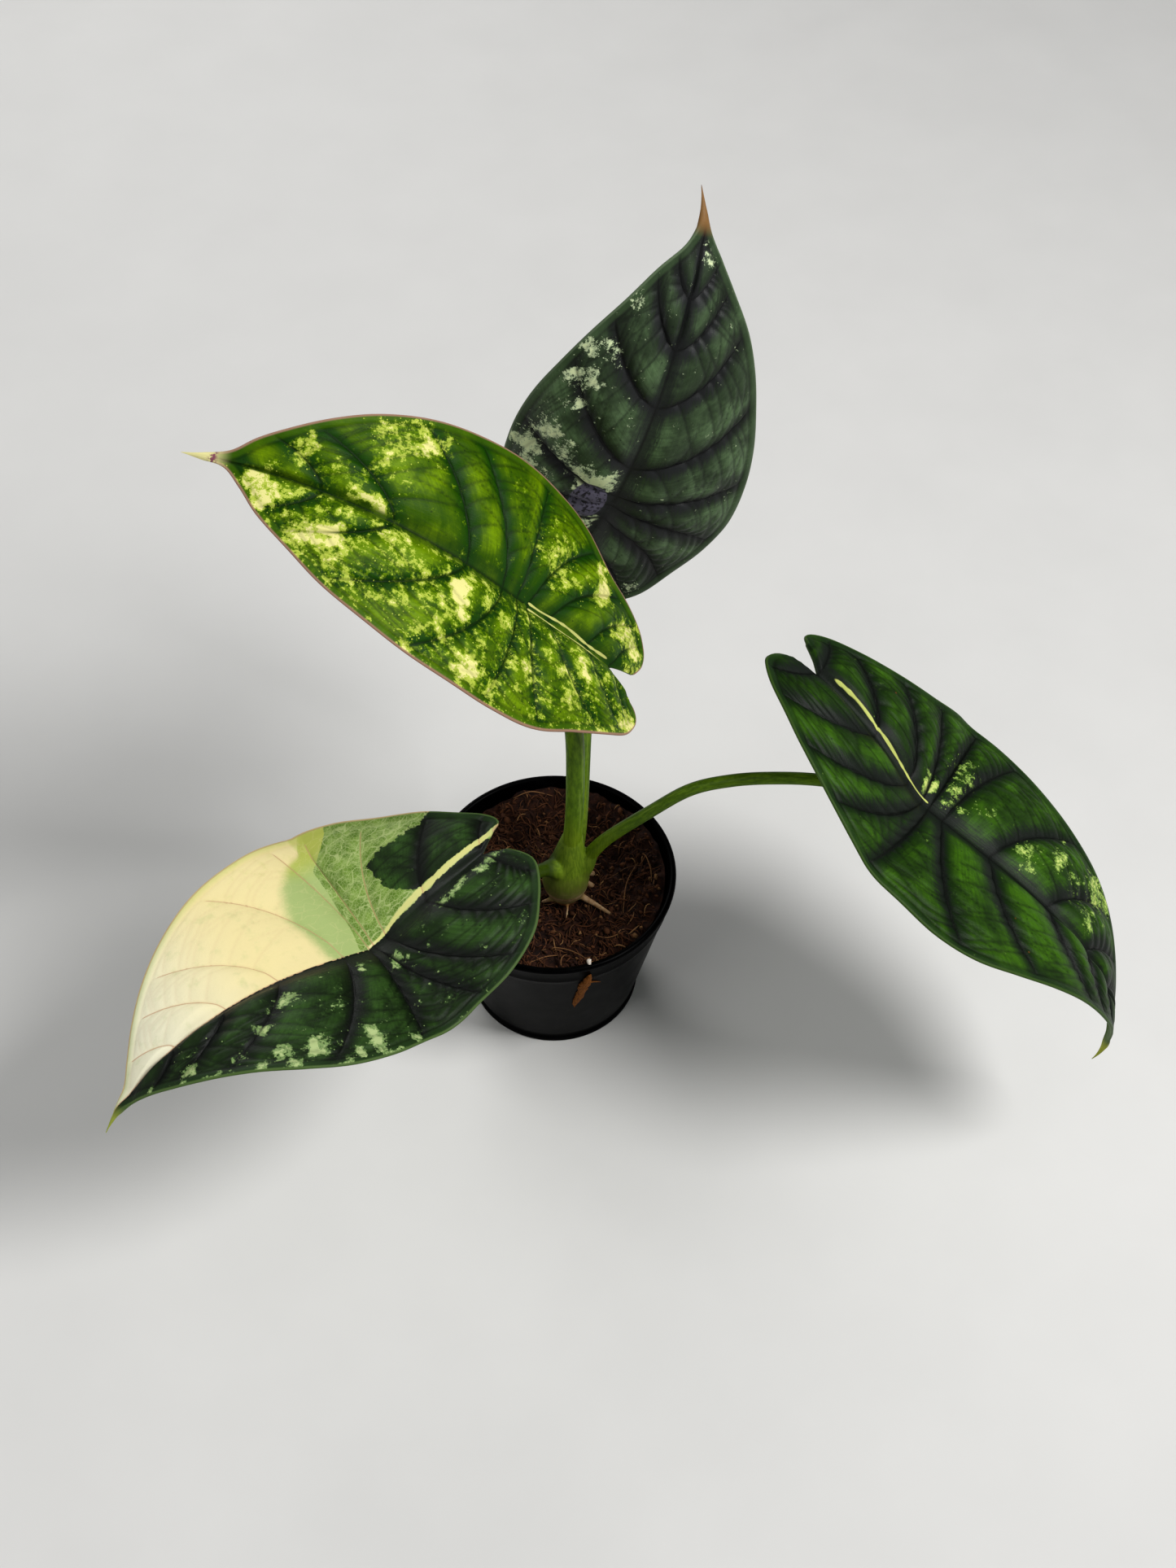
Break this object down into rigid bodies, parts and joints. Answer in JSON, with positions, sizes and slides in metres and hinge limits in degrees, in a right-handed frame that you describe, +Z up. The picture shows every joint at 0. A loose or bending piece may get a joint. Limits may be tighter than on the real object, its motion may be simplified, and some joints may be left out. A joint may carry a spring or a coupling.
{
  "type": "potted variegated dragon scale alocasia",
  "caption": "Potted variegated alocasia: quilted, pointed shield-shaped leaves on arching stalks from a pale crown in coir soil, in a round black plastic nursery pot.",
  "frame": {"origin": "centre of the pot's flat underside, where it stands", "axes": "+Z up out of the pot; -Y is the side that faces the viewer, +X is the viewer's right"},
  "size_m": [0.3348, 0.2148, 0.3077],
  "materials": {
    "pot": "glossy black moulded plastic with fine scuffs",
    "soil": "dark brown damp coir with loose fibres",
    "crown": "pale green to cream with a brown skirt",
    "petiole": "smooth mottled green",
    "blade_1": "satin yellow-green with cream marbling and dark veins",
    "blade_2": "satin dark grey-green with pale flecks",
    "blade_3": "satin, half ivory and half glossy dark green",
    "blade_4": "satin dark green with brighter blotches"
  },
  "bodies": {
    "root": {"pot": "pot", "soil": "soil", "crown": "crown", "petiole_1": "petiole", "petiole_2": "petiole", "petiole_3": "petiole", "petiole_4": "petiole", "leaf_1": "blade_1", "leaf_2": "blade_2", "leaf_3": "blade_3", "leaf_4": "blade_4"}
  },
  "joints": []
}
